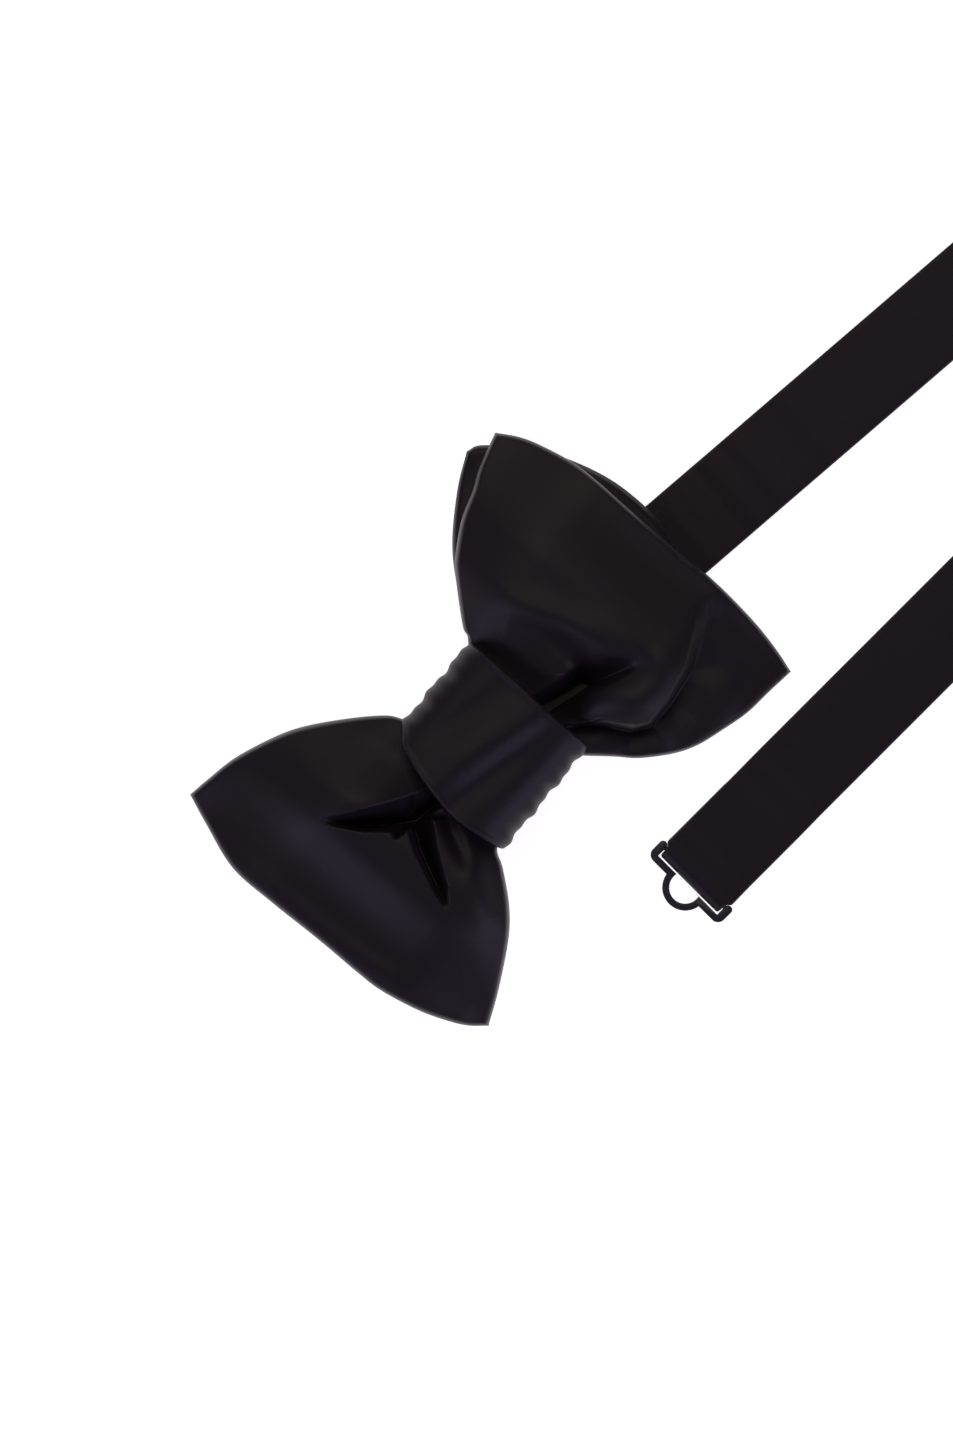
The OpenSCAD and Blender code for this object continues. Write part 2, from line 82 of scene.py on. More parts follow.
def ease(a, b, x):
    """0 before a, 1 after b and a smooth rise between them."""
    k = np.clip((x - a) / (b - a), 0, 1)
    return k * k * (3 - 2 * k)


def curve(points, count):
    """A smooth line through given points, as count points evenly spaced along it."""
    p = np.array(points, float)
    p = np.vstack([2 * p[0] - p[1], p, 2 * p[-1] - p[-2]])
    fine = []
    for a, b, c, d in zip(p[:-3], p[1:-2], p[2:-1], p[3:]):
        t = np.linspace(0, 1, 24, endpoint=False)[:, None]
        fine.append(0.5 * (2 * b + (c - a) * t + (2 * a - 5 * b + 4 * c - d) * t**2
                           + (3 * b - a - 3 * c + d) * t**3))
    fine = np.vstack(fine + [p[-2][None]])
    run = np.concatenate([[0], np.cumsum(np.linalg.norm(np.diff(fine, axis=0), axis=1))])
    want = np.linspace(0, run[-1], count)
    return np.column_stack([np.interp(want, run, fine[:, k]) for k in range(p.shape[1])])


def crease(x, y, path, left, right):
    """A fold line's height over (x, y): path holds (x, y, height), and the fold fades over
    the width left of the path or right of it, in the direction the path runs."""
    best = np.full(x.shape, 1e9)
    height = np.zeros(x.shape)
    side = np.zeros(x.shape)
    line = curve(path, 40)
    for a, b in zip(line[:-1], line[1:]):
        run = b[:2] - a[:2]
        t = np.clip(((x - a[0]) * run[0] + (y - a[1]) * run[1]) / (run @ run), 0, 1)
        dx, dy = x - a[0] - t * run[0], y - a[1] - t * run[1]
        d = np.hypot(dx, dy)
        near = d < best
        best = np.where(near, d, best)
        height = np.where(near, a[2] + t * (b[2] - a[2]), height)
        side = np.where(near, run[0] * dy - run[1] * dx, side)
    width = np.where(side > 0, left, right)
    return height * np.exp(-(best / width) ** 2)


def tuck(x, y, path, left_roll=1.1, right_roll=1.1):
    """Depth of a V-shaped fold along a path of (x, y, depth, left width, right width). A roll
    of 1 gives that side's wall a crisp lip, and 2 rolls it over."""
    deepest = np.zeros_like(x)
    for (ax, ay, *a), (bx, by, *b) in zip(path, path[1:]):
        dx, dy = bx - ax, by - ay
        t = np.clip(((x - ax) * dx + (y - ay) * dy) / (dx * dx + dy * dy), 0, 1)
        away = np.hypot(x - ax - t * dx, y - ay - t * dy)
        side = dx * (y - ay) - dy * (x - ax)
        depth, left, right = ((1 - t) * p + t * q for p, q in zip(a, b))
        wall = np.where(side > 0, np.clip(1 - away / left, 0, 1) ** left_roll,
                        np.clip(1 - away / right, 0, 1) ** right_roll)
        deepest = np.minimum(deepest, -depth * wall)
    return deepest


def new_piece(name, points, faces, material, body=None):
    """A smooth-shaded mesh piece from points in millimetres, riding on a body."""
    mesh = bpy.data.meshes.new(name)
    mesh.from_pydata((np.asarray(points) * MM).tolist(), [], faces)
    mesh.update()
    piece = bpy.data.objects.new(name, mesh)
    bpy.context.scene.collection.objects.link(piece)
    only(piece)
    bpy.ops.object.mode_set(mode="EDIT")
    bpy.ops.mesh.select_all(action="SELECT")
    bpy.ops.mesh.remove_doubles(threshold=0.00001)
    bpy.ops.mesh.normals_make_consistent(inside=False)
    bpy.ops.object.mode_set(mode="OBJECT")
    bpy.ops.object.shade_smooth()
    finish_piece(piece, material, body)
    return piece


def only(piece):
    """Selects one piece and nothing else."""
    bpy.ops.object.select_all(action="DESELECT")
    piece.select_set(True)
    bpy.context.view_layer.objects.active = piece


def finish_piece(piece, material, body):
    """Gives a piece its one material and its slot, and puts it on its body."""
    piece.data.materials.clear()
    piece.data.materials.append(material)
    if body:
        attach(piece, body)


# ---------------------------------------------------------------- materials

def linear(hex_colour):
    """An sRGB hex colour as linear red, green, blue and alpha."""
    parts = [int(hex_colour[k:k + 2], 16) / 255 for k in (1, 3, 5)]
    return [v / 12.92 if v <= 0.04045 else ((v + 0.055) / 1.055) ** 2.4 for v in parts] + [1.0]


def add_node(tree, kind, links=None, **settings):
    """Adds a node. settings are its properties or, where it has none so named, its inputs,
    with _ for a space; links maps an input to the output socket that feeds it."""
    node = tree.nodes.new(kind)
    for key, value in settings.items():
        if hasattr(node, key):
            setattr(node, key, value)
        else:
            node.inputs[key.replace("_", " ")].default_value = value
    for key, source in (links or {}).items():
        tree.links.new(source, node.inputs[key])
    return node


def start_material(name, **shader):
    """A material with only its surface shader; returns it with its nodes and the piece's axes."""
    material = bpy.data.materials.new(name)
    material.use_nodes = True
    tree = material.node_tree
    tree.nodes.clear()
    surface = add_node(tree, "ShaderNodeBsdfPrincipled", **shader)
    add_node(tree, "ShaderNodeOutputMaterial", {"Surface": surface.outputs["BSDF"]})
    place = add_node(tree, "ShaderNodeTexCoord").outputs["Object"]
    return material, tree, surface, place


def per_metre(size_mm):
    """Scale of a pattern whose marks are a size in millimetres apart."""
    return 1000 / size_mm


def polyester_satin():
    """Heavy satin, woven from fine filament: smooth, near black, with a soft broad gloss.
    The floats are 0.1 mm wide, and are drawn 0.4 mm wide so that the grain shows."""
    material, tree, surface, place = start_material(
        "polyester_satin", Roughness=0.5, IOR=1.5, Sheen_Weight=0.03, Sheen_Roughness=0.4)
    surface.inputs["Sheen Tint"].default_value = linear("#b6a6c9")
    surface.inputs["Specular IOR Level"].default_value = 0.3
    grain = add_node(tree, "ShaderNodeTexNoise", {"Vector": place}, Scale=per_metre(0.45),
                     Detail=3.0, Roughness=0.65)
    cloud = add_node(tree, "ShaderNodeTexNoise", {"Vector": place}, Scale=per_metre(14), Detail=2.0)
    float_lie = add_node(tree, "ShaderNodeMapping", {"Vector": place},
                         Rotation=(0.0, 0.0, math.radians(27)), Scale=(1.0, 0.25, 1.0))
    floats = add_node(tree, "ShaderNodeTexNoise", {"Vector": float_lie.outputs["Vector"]},
                      Scale=per_metre(0.35), Detail=1.0)
    shade = add_node(tree, "ShaderNodeMix", {"Factor": grain.outputs["Fac"]}, data_type="RGBA")
    shade.inputs[6].default_value = linear("#120d0f")
    shade.inputs[7].default_value = linear("#1e1619")
    tint = add_node(tree, "ShaderNodeMix", {"Factor": cloud.outputs["Fac"]}, data_type="RGBA")
    tree.links.new(shade.outputs[2], tint.inputs[6])
    tint.inputs[7].default_value = linear("#161119")
    tree.links.new(tint.outputs[2], surface.inputs["Base Color"])
    gloss = add_node(tree, "ShaderNodeMapRange", {"Value": grain.outputs["Fac"]},
                     To_Min=0.45, To_Max=0.58)
    tree.links.new(gloss.outputs["Result"], surface.inputs["Roughness"])
    bump = add_node(tree, "ShaderNodeBump", {"Height": grain.outputs["Fac"]}, Strength=0.35,
                    Distance=0.00006)
    fine = add_node(tree, "ShaderNodeBump", {"Height": floats.outputs["Fac"],
                                             "Normal": bump.outputs["Normal"]},
                    Strength=0.3, Distance=0.00004)
    tree.links.new(fine.outputs["Normal"], surface.inputs["Normal"])
    return material


def enamelled_steel():
    """Stamped steel under black enamel: blue-black, semi-gloss, with a faint orange peel."""
    material, tree, surface, place = start_material(
        "enamelled_steel", Roughness=0.34, IOR=1.5, Coat_Weight=0.25, Coat_Roughness=0.2)
    peel = add_node(tree, "ShaderNodeTexNoise", {"Vector": place}, Scale=per_metre(0.6), Detail=2.0)
    shade = add_node(tree, "ShaderNodeMix", {"Factor": peel.outputs["Fac"]}, data_type="RGBA")
    shade.inputs[6].default_value = linear("#1e1f27")
    shade.inputs[7].default_value = linear("#2c2d37")
    tree.links.new(shade.outputs[2], surface.inputs["Base Color"])
    bump = add_node(tree, "ShaderNodeBump", {"Height": peel.outputs["Fac"]}, Strength=0.2,
                    Distance=0.00005)
    tree.links.new(bump.outputs["Normal"], surface.inputs["Normal"])
    return material


def spun_thread():
    """Spun polyester sewing thread: matt, with its twist drawn about 0.6 mm apart, since a wave
    pattern already repeats every tenth of pi."""
    material, tree, surface, place = start_material("spun_thread", Roughness=0.75, IOR=1.5)
    twist = add_node(tree, "ShaderNodeTexWave", {"Vector": place}, Scale=per_metre(0.3) / 6.28,
                     Distortion=1.5)
    shade = add_node(tree, "ShaderNodeMix", {"Factor": twist.outputs["Fac"]}, data_type="RGBA")
    shade.inputs[6].default_value = linear("#141113")
    shade.inputs[7].default_value = linear("#262024")
    tree.links.new(shade.outputs[2], surface.inputs["Base Color"])
    return material


def white_table():
    """Matt white board that the tie is laid on. It glows a little, which keeps shadows faint."""
    material, _, surface, _ = start_material("white_table", Roughness=0.9, IOR=1.45)
    surface.inputs["Specular IOR Level"].default_value = 0.1
    surface.inputs["Base Color"].default_value = linear("#f6f6f6")
    surface.inputs["Emission Color"].default_value = linear("#ffffff")
    surface.inputs["Emission Strength"].default_value = 0.85
    return material


satin = polyester_satin()
enamel = enamelled_steel()
thread = spun_thread()


# ---------------------------------------------------------------- wings

FLOOR_FRONT = 10.1      # underside of the front wings at the knot
FLOOR_REAR = 7.3        # underside of the rear wings at the knot
DROOP = 6.0             # how far the tips hang below that
DROOP_FROM, DROOP_TO = 17.8, 47.0       # the droop starts and is full this far across the bow
BACK_RISES_TO = 6       # thickness past which a wing's back rises no further at its edges


def floor_of(level, y):
    """Height of a wing's underside, which droops towards its tips."""
    return level - DROOP * ease(DROOP_FROM, DROOP_TO, np.abs(y))


def wing(name, bottom, top, far, rows, columns, floor, swell, roll, replaced):
    """A closed padded wing over the patch that three edge lines bound. swell(x, y, v) gives
    its thickness, with v running from its bottom line to its top; roll is the radius of its
    folded edges."""
    low, high, end = curve(bottom, rows), curve(top, rows), curve(far, columns)
    u, v = np.meshgrid(np.linspace(0, 1, rows), np.linspace(0, 1, columns), indexing="ij")
    root = low[0] + (high[0] - low[0]) * v[..., None]
    uu, vv = u[..., None], v[..., None]
    plan = ((1 - vv) * low[:, None] + vv * high[:, None] + (1 - uu) * root + uu * end[None]
            - (1 - uu) * (1 - vv) * low[0] - uu * (1 - vv) * low[-1]
            - (1 - uu) * vv * high[0] - uu * vv * high[-1])
    x, y = plan[..., 0], plan[..., 1]
    width = np.hypot(*(high - low).T)[:, None]
    length = np.abs(end[:, 0].mean() - low[0, 0])
    near_edge = lambda d, r: np.sqrt(np.clip(1 - (1 - np.minimum(d / r, 1)) ** 2, 0, 1))
    edge = (near_edge((1 - u) * length, roll) * near_edge(v * width, roll)
            * near_edge((1 - v) * width, roll))
    thick = swell(x, y, v)
    level = floor_of(floor, y)
    cover = np.dstack([x, y, level + thick * (0.3 + 0.7 * edge)]).reshape(-1, 3)
    back = np.dstack([x, y, level + np.minimum(thick, BACK_RISES_TO) * 0.3 * (1 - edge)])
    back = back.reshape(-1, 3)
    back_rim = edge.reshape(-1) == 0
    back[back_rim] = cover[back_rim]
    count = rows * columns
    faces = []
    for i in range(rows - 1):
        for j in range(columns - 1):
            a = i * columns + j
            faces.append((a, a + 1, a + columns + 1, a + columns))
            faces.append((count + a, count + a + columns, count + a + columns + 1, count + a + 1))
    for j in range(columns - 1):
        faces.append((j + 1, j, count + j, count + j + 1))
    piece = new_piece(name, np.vstack([cover, back]), faces, satin, "bow")
    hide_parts(*replaced)


def left_swell(x, y, v):
    """Thickness of the left front wing, with its gathers."""
    body = 7.5 + 5.5 * ease(16, 34, -x) - 6.5 * ease(40, 64, -x)
    body = body * (1 - 0.25 * np.abs(2 * v - 1) ** 3)
    # rolled far edge and the long shallow trough inside it
    trough = [(-45, 44, -0.6), (-49, 30, -1.3), (-50, 10, -1.6), (-50, -10, -1.6),
              (-47, -28, -1.3), (-43, -37, -0.6)]
    swelling = [(-61, 38, 0.6), (-62, 10, 0.9), (-61, -15, 1.0), (-57, -38, 0.8)]
    h = body + crease(x, y, trough, 7, 7) + crease(x, y, swelling, 3.5, 3.5)
    # the deep three-armed tuck beside the knot
    upper = [(-15, -0.2, 6.0, 1.2, 4.4), (-20, 0.2, 7.2, 1.4, 5.0), (-26.5, 1.2, 11, 1.6, 7.0),
             (-31.2, 5.2, 12, 1.3, 6.2), (-35.8, 10.6, 10, 1.2, 4.6), (-40.2, 17.6, 1.5, 0.9, 1.8)]
    lower = [(-24.2, 5.0, 6, 2.6, 1.6), (-28.4, 0.4, 11, 5.2, 1.5), (-31.2, -3.6, 11, 4.6, 1.3),
             (-33.4, -8.0, 10, 3.8, 1.2), (-35.6, -12.8, 7, 2.9, 1.1), (-37.4, -17.0, 1, 1.2, 0.9)]
    small = [(-18.5, 1.0, -1.0), (-21.5, -4.5, -1.8), (-25.0, -11.5, -1.4), (-28, -17, 0)]
    hollow = np.minimum(tuck(x, y, upper), tuck(x, y, lower))
    lobe = [(-21, 8, 1.0), (-28, 12.5, 1.6), (-35, 18, 1.0), (-40, 22, 0)]
    h = h + hollow + crease(x, y, small, 2.2, 2.0) + crease(x, y, lobe, 4.0, 5.5)
    # slack over the lower lobe next to the knot
    belly = [(-22, -8, 1.2), (-27, -17, 1.4), (-34, -26, 0.8)]
    return np.maximum(h + crease(x, y, belly, 4, 4), 0.9)


def right_swell(x, y, v):
    """Thickness of the right front wing, with its gathers."""
    body = 8.0 + 5.5 * ease(15, 32, x) - 6.0 * ease(42, 66, x)
    body = body * (1 - 0.22 * np.abs(2 * v - 1) ** 3)
    # the crescent beside the knot, with the ridge outside it and the pinch at its point
    valley = [(25, 15, -0.3), (28.2, 7, -1.8), (28.8, 0, -3.4), (27.2, -6.5, -4.4),
              (21, -7.6, -4.6), (14, -5.8, -4.2)]
    branch = [(27.0, -7.5, -2.6), (31.5, -11.0, -2.6), (36.5, -15.0, -1.4), (41, -19, 0)]
    ridge = [(25, 20.5, 0.3), (31.0, 13.0, 0.9), (34.5, 3.0, 1.3), (38.5, -6.0, 1.1),
             (41.5, -17.0, 0.5)]
    pinch = [(13.5, -5.2, 5.5, 5.0, 1.6), (20, -7.6, 6.5, 5.4, 1.7), (26.5, -10.2, 7.0, 6.0, 1.8),
             (31.5, -12.6, 4.6, 5.0, 1.5), (37.5, -15.6, 0, 2.2, 1.2)]
    h = body + crease(x, y, valley, 4.2, 4.6) + crease(x, y, branch, 3.2, 3.6)
    h = h + crease(x, y, ridge, 4.6, 4.6) + tuck(x, y, pinch, 1.5, 1.3)
    # the cone-shaped pleat that lies over the lower panel
    cone = [(15, -10.5, 0.8), (22, -15.0, 1.6), (29.5, -22.0, 2.0), (38, -24.0, 1.6),
            (48, -23.0, 0.8), (58, -20, 0)]
    under = [(13.5, -12.4, 3.0, 1.0, 5.0), (17.5, -14.6, 5.0, 1.0, 7.0),
             (21.5, -19.4, 6.4, 1.0, 9.0), (24.6, -25.4, 7.8, 1.0, 11.0),
             (28.8, -28.4, 8.2, 1.1, 13.0), (36.4, -28.4, 7.2, 1.4, 14.0),
             (46.4, -27.0, 4.8, 2.2, 14.0), (56.5, -22.6, 1.8, 3.0, 10.0), (62, -19, 0, 3.0, 6.0)]
    h = h + crease(x, y, cone, 5.5, 6.0) + tuck(x, y, under, 1.2, 2.0)
    hollow = [(44, -31, -0.8), (50, -28.5, -1.4), (55, -26, -0.8)]
    return np.maximum(h + crease(x, y, hollow, 6, 7), 1.2)


def flat_swell(x, y, v):
    """Thickness of a rear wing: nearly flat, with a little slack in its satin."""
    return 2.3 + 0.25 * np.sin(x / 7.0 + y / 11.0)


# points along and across a wing
ROWS, COLUMNS = ((150, 190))
REAR_ROWS, REAR_COLUMNS = 60, 90

wing(
    "left_wing",
    [(-5, -14), (-12, -15.5), (-18.8, -18.2), (-21.9, -22.6), (-28, -29.7), (-34.5, -34.9),
     (-45.8, -41.1), (-54.4, -45)],
    [(-5, 15), (-8.6, 18.8), (-11.1, 23.7), (-18, 30.8), (-26.7, 38.1), (-33.8, 42.2),
     (-43.4, 46.1), (-51.2, 47.8), (-57.6, 48.9)],
    [(-54.4, -45), (-57.6, -41), (-60, -36), (-62.4, -28.9), (-64.4, -18.7), (-64.7, -11.7),
     (-64.6, 1.2), (-64.9, 16.5), (-64.6, 29.2), (-60.6, 41.2), (-57.6, 48.9)],
    ROWS, COLUMNS, FLOOR_FRONT, left_swell, 1.2, ["front_wing_left", "front_interlining_left"])

wing(
    "right_wing",
    [(5, -14), (10, -17.5), (13.7, -21.9), (17.2, -26.4), (20.8, -31.3), (27.1, -37.1),
     (32.6, -40.4), (39.3, -42.7), (46.4, -44.7), (53.9, -45.6), (61.4, -46.6)],
    [(5, 15), (12, 17.2), (16.5, 20.6), (18.1, 23.6), (26.7, 33.1), (30.5, 36.2), (38, 40.5),
     (45.3, 43), (51.1, 45.5), (60.2, 48)],
    [(61.4, -46.6), (63.1, -41.1), (64.7, -33.5), (65.8, -23.9), (66.3, -15.5), (65.9, -9),
     (66.2, -3), (66.4, 8.1), (66.8, 19.5), (66.6, 28.1), (65, 36.9), (63.2, 42.6), (60.2, 48)],
    ROWS, COLUMNS, FLOOR_FRONT, right_swell, 1.2,
    ["front_wing_right", "front_interlining_right"])

wing(
    "rear_left_wing",
    [(-5, -13), (-18, -16), (-28, -26), (-40, -34), (-51, -39)],
    [(-5, 14), (-15, 22), (-27, 34), (-40, 41), (-53, 43.5)],
    [(-51, -39), (-58, -30), (-61.5, -10), (-62, 12), (-60, 32), (-53, 43.5)],
    REAR_ROWS, REAR_COLUMNS, FLOOR_REAR, flat_swell, 1.6,
    ["rear_wing_left", "rear_interlining_left"])

wing(
    "rear_right_wing",
    [(5, -13), (15, -18), (22, -28), (34, -36), (56, -39)],
    [(5, 14), (16, 19), (24, 30), (32.1, 38.6), (43.4, 46.3), (52.2, 50.6)],
    [(56, -39), (63, -25), (67.2, -5), (69.6, 5), (69.2, 20), (64, 37), (56, 48.5), (52.2, 50.6)],
    REAR_ROWS, REAR_COLUMNS, FLOOR_REAR, flat_swell, 1.6,
    ["rear_wing_right", "rear_interlining_right"])


# ---------------------------------------------------------------- knot

KNOT_LOW, KNOT_TOP = 5.8, 26.1
KNOT_HALF, KNOT_HALF_DEPTH = 19.6, 10   # across the bow, and front to back
KNOT_MIDDLE = KNOT_LOW + 8.0    # height at which its sides are widest
KNOT_LIP = 0.7                  # radius of the folded edges at both ends


def knot_edges(y):
    """Where the wrap starts and ends along the bow at a height y across it."""
    left = curve([(-21, -17.9), (-17.5, -18.8), (-8.5, -19.7), (-2.8, -19.6), (4.4, -18.2),
                  (10.2, -16.6), (16, -14.3), (20, -9.8), (21, -9.2)], 60)
    right = curve([(-21, 13.8), (-18, 14.9), (-6, 15.1), (6, 15.8), (21, 16.1)], 60)
    return np.interp(y, left[:, 0], left[:, 1]), np.interp(y, right[:, 0], right[:, 1])


def knot():
    """The satin strip wrapped round the bow's middle, drawn tight over its soft pad."""
    across, along = ((240, 130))
    turn = np.linspace(0, 2 * np.pi, across, endpoint=False)
    c, s = np.cos(turn), np.sin(turn)
    power = lambda value, p: np.sign(value) * np.abs(value) ** p
    y0 = KNOT_HALF * power(c, 0.66)
    z0 = np.where(s > 0, KNOT_MIDDLE + (KNOT_TOP - KNOT_MIDDLE) * power(s, 0.7),
                  KNOT_MIDDLE + (KNOT_MIDDLE - KNOT_LOW) * power(s, 0.35))
    front = np.clip((z0 - KNOT_MIDDLE) / (KNOT_TOP - KNOT_MIDDLE), 0, 1)
    left, right = knot_edges(y0)
    # shares of the way along, closer together at both lips, with a short turn-in past each
    shares = np.concatenate([[-0.04, -0.02], 0.5 - 0.5 * np.cos(np.linspace(0, np.pi, along)),
                             [1.02, 1.04]])
    rings = []
    for share in shares:
        inside = np.clip(share, 0, 1)
        x = left + (right - left) * inside
        from_end = np.minimum(x - left, right - x)
        rise = np.minimum(from_end / KNOT_LIP, 1)
        shrink = KNOT_LIP * (1 - np.sqrt(np.clip(1 - (1 - rise) ** 2, 0, 1)))
        if share < 0 or share > 1:
            turned_in = abs(share - inside) / 0.02
            shrink = KNOT_LIP + 0.9 * turned_in
            x = x + np.sign(0.5 - share) * 0.5 * turned_in
        y = y0 * (1 - shrink / KNOT_HALF)
        z = KNOT_MIDDLE + (z0 - KNOT_MIDDLE) * (1 - shrink / KNOT_HALF_DEPTH)
        # the ridge across its front, with a hollow below it and a shallower one above
        ridge = crease(x, y0, [(-19, 4.2, 0.4), (-8, 1.6, 0.9), (4, -1.8, 0.8), (16, -5.0, 0.4)],
                       5.0, 3.4)
        valley = crease(x, y0, [(-19, -2.0, -0.6), (-8, -4.2, -1.1), (4, -7.4, -1.0),
                                (16, -10.6, -0.4)], 2.8, 4.6)
        upper = crease(x, y0, [(-13, 12.5, -0.3), (0, 9.0, -0.8), (16, 4.5, -0.3)], 3.5, 3.5)
        # crinkles where it turns over the bow's edges, and a raised rim inside each lip
        side = np.sign(y0)
        crinkle = ((0.28 * np.sin(x * 0.62 + 0.9 * side) + 0.2 * np.sin(x * 1.37 + 2.1 * side))
                   * ease(14, 19, np.abs(y0)) * (1 - shrink / 3))
        rim = 0.25 * np.exp(-((from_end - 0.9) / 0.7) ** 2)
        z = z + front * (ridge + valley + upper) + rim * front
        y = y + side * (crinkle + 0.2 * rim)
        rings.append(np.column_stack([x, y, z]))
    count = len(rings)
    faces = []
    for i in range(count - 1):
        for j in range(across):
            m = (j + 1) % across
            faces.append((i * across + j, (i + 1) * across + j, (i + 1) * across + m,
                          i * across + m))
    faces.append(tuple(range(across)))
    faces.append(tuple((count - 1) * across + j for j in reversed(range(across))))
    piece = new_piece("knot", np.vstack(rings), faces, satin, "bow")
    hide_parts("knot_wrap", "knot_filler")


knot()


# ---------------------------------------------------------------- neckband

BAND_W, BAND_T = 22.5, 1.4
FOLD_W, FOLD_R = 20.2, 1.6              # width and centre-line radius of a fold round a fitting
HOOK_X, HOOK_Z, EYE_Z = -47.0, 2.65, 2.3        # the crossbars that the folds go round
MAIN_Z, TAIL_Z = 3.5, 1.8               # levels of the band and its tail under the knot
BEND = math.radians(9.6)                # the turn under the right wing, over 14 mm of band
BEND_R = 14 / BEND
BEND_START = np.array([40.0, 0.0])
BEND_END = BEND_START + BEND_R * np.array([math.sin(BEND), math.cos(BEND) - 1])
NEAR_RUN, ROLL_RUN = 160.0, 40.0        # straight run before the turn, and its rolling end
TURN_R, TURN = 26.1, math.radians(175.7)
RETURN_RUN, TURN_BACK = 199.0, 22.0     # straight run after it, and the end turned back under
RETURN = -BEND - TURN                   # heading of the return strand


def ahead(h):
    """Unit vector along a heading."""
    return np.array([math.cos(h), math.sin(h), 0.0])


def left_of(h):
    """Unit vector to the left of a heading."""
    return np.array([-math.sin(h), math.cos(h), 0.0])


NEAR_WAY = ahead(-BEND)[:2]
TURN_START = BEND_END + NEAR_RUN * NEAR_WAY
TURN_CENTRE = TURN_START - TURN_R * left_of(-BEND)[:2]
TURN_END = TURN_CENTRE + TURN_R * left_of(RETURN)[:2]
EYE_PIVOT = TURN_END + RETURN_RUN * ahead(RETURN)[:2]


def station(p, z, heading, roll=0.0, width=BAND_W):
    """One place along the band: its centre, its side and face vectors, and its width."""
    side = math.cos(roll) * left_of(heading) + np.array([0, 0, math.sin(roll)])
    return np.array([p[0], p[1], z]), side, np.cross(ahead(heading), side), width


def rest_z(roll):
    """Height of the band's centre where it rests on the table, rolled up on its edge."""
    return math.sin(roll) * BAND_W / 2 + math.cos(roll) * BAND_T / 2


def width_by_fold(x):
    """The band is drawn in where it goes through a fitting, x from the fitting's crossbar."""
    return FOLD_W + (BAND_W - FOLD_W) * float(ease(0.2, 1.8, x))


def round_crossbar(place, z, heading, start, stop):
    """Stations of a fold round a crossbar, between two angles of its outer face."""
    way = ahead(heading)
    for a in np.radians(np.linspace(start, stop, 17)):
        face = math.cos(a) * way + np.array([0, 0, math.sin(a)])
        yield np.array([place[0], place[1], z]) + FOLD_R * face, left_of(heading), face, FOLD_W


def ripple(s):
    """Soft cockles in the band where it comes out from under the wing."""
    return sum(h * math.exp(-((s - place) / 3.2) ** 2)
               for place, h in ((20, 0.35), (29, 0.5), (42, 0.45), (58, 0.3)))


def near_band():
    """From under the hook's fold, over it, behind the knot and out under the right wing."""
    under = np.array([0, 0, -1.0])
    for x in np.linspace(1.8, 0.3, 8):
        yield (np.array([HOOK_X + x, 0, HOOK_Z - FOLD_R]), np.array([0, 1.0, 0]), under,
               width_by_fold(x))
    for centre, side, face, width in round_crossbar((HOOK_X, 0), HOOK_Z, math.pi, -90, 90):
        yield centre, np.array([0, 1.0, 0]), face, width
    for x in np.concatenate([np.linspace(0.3, 9, 40), np.linspace(12, 86, 30)]):
        z = HOOK_Z + FOLD_R + (MAIN_Z - HOOK_Z - FOLD_R) * float(ease(0, 9, x))
        yield station((HOOK_X + x, 0), z, 0.0, 0.0, width_by_fold(x))
    for a in np.linspace(0, BEND, 9):
        yield station(BEND_START + BEND_R * np.array([math.sin(a), math.cos(a) - 1]), MAIN_Z, -a)
    for s in np.linspace(1, NEAR_RUN - ROLL_RUN, 120):
        z = MAIN_Z + (BAND_T / 2 - MAIN_Z) * float(ease(15, 42, s)) + ripple(s)
        yield station(BEND_END + s * NEAR_WAY, z, -BEND)


def far_turn():
    """Up on edge, round the turn and down flat again."""
    for k in np.linspace(0, 1, 41):
        roll = math.pi / 2 * float(ease(0, 1, k))
        run = NEAR_RUN - ROLL_RUN * (1 - k)
        yield station(BEND_END + run * NEAR_WAY, rest_z(roll), -BEND, roll)
    for a in np.linspace(0, TURN, 90)[1:-1]:
        place = TURN_CENTRE + TURN_R * left_of(-BEND - a)[:2]
        yield station(place, BAND_W / 2, -BEND - a, math.pi / 2)
    for k in np.linspace(0, 1, 41):
        roll = math.pi / 2 * (1 - float(ease(0, 1, k)))
        place = TURN_END + ROLL_RUN * k * ahead(RETURN)[:2]
        yield station(place, rest_z(roll), RETURN, roll)


def return_band():
    """Back to the eye, round its crossbar and under itself."""
    lap_z = BAND_T * 1.5 + 0.3
    top = EYE_Z + FOLD_R
    place = lambda x: EYE_PIVOT - x * ahead(RETURN)[:2]
    for x in np.concatenate([np.arange(RETURN_RUN - ROLL_RUN, 40, -2.0), np.linspace(40, 10, 16),
                             np.linspace(9, 0.3, 44)]):
        z = lap_z + (top - lap_z) * float(1 - ease(0, 9, x))
        z = z + (BAND_T / 2 - z) * float(ease(TURN_BACK + 2, TURN_BACK + 12, x))
        yield station(place(x), z, RETURN, 0.0, width_by_fold(x))
    yield from round_crossbar(place(0), EYE_Z, RETURN, 90, -90)
    for x in np.concatenate([np.linspace(0.3, 3, 14), np.linspace(4, TURN_BACK, 16)]):
        p = place(x)
        yield (np.array([p[0], p[1], BAND_T / 2]), left_of(RETURN), np.array([0, 0, -1.0]),
               width_by_fold(x))


def tail_band():
    """The band's tail, laid under the band from the hook's fold to the adjuster."""
    for x in np.linspace(2.1, 75.6, 63):
        z = HOOK_Z - FOLD_R + (TAIL_Z - HOOK_Z + FOLD_R) * float(ease(2.1, 8.1, x))
        yield station((HOOK_X + x, 0), z, 0.0)


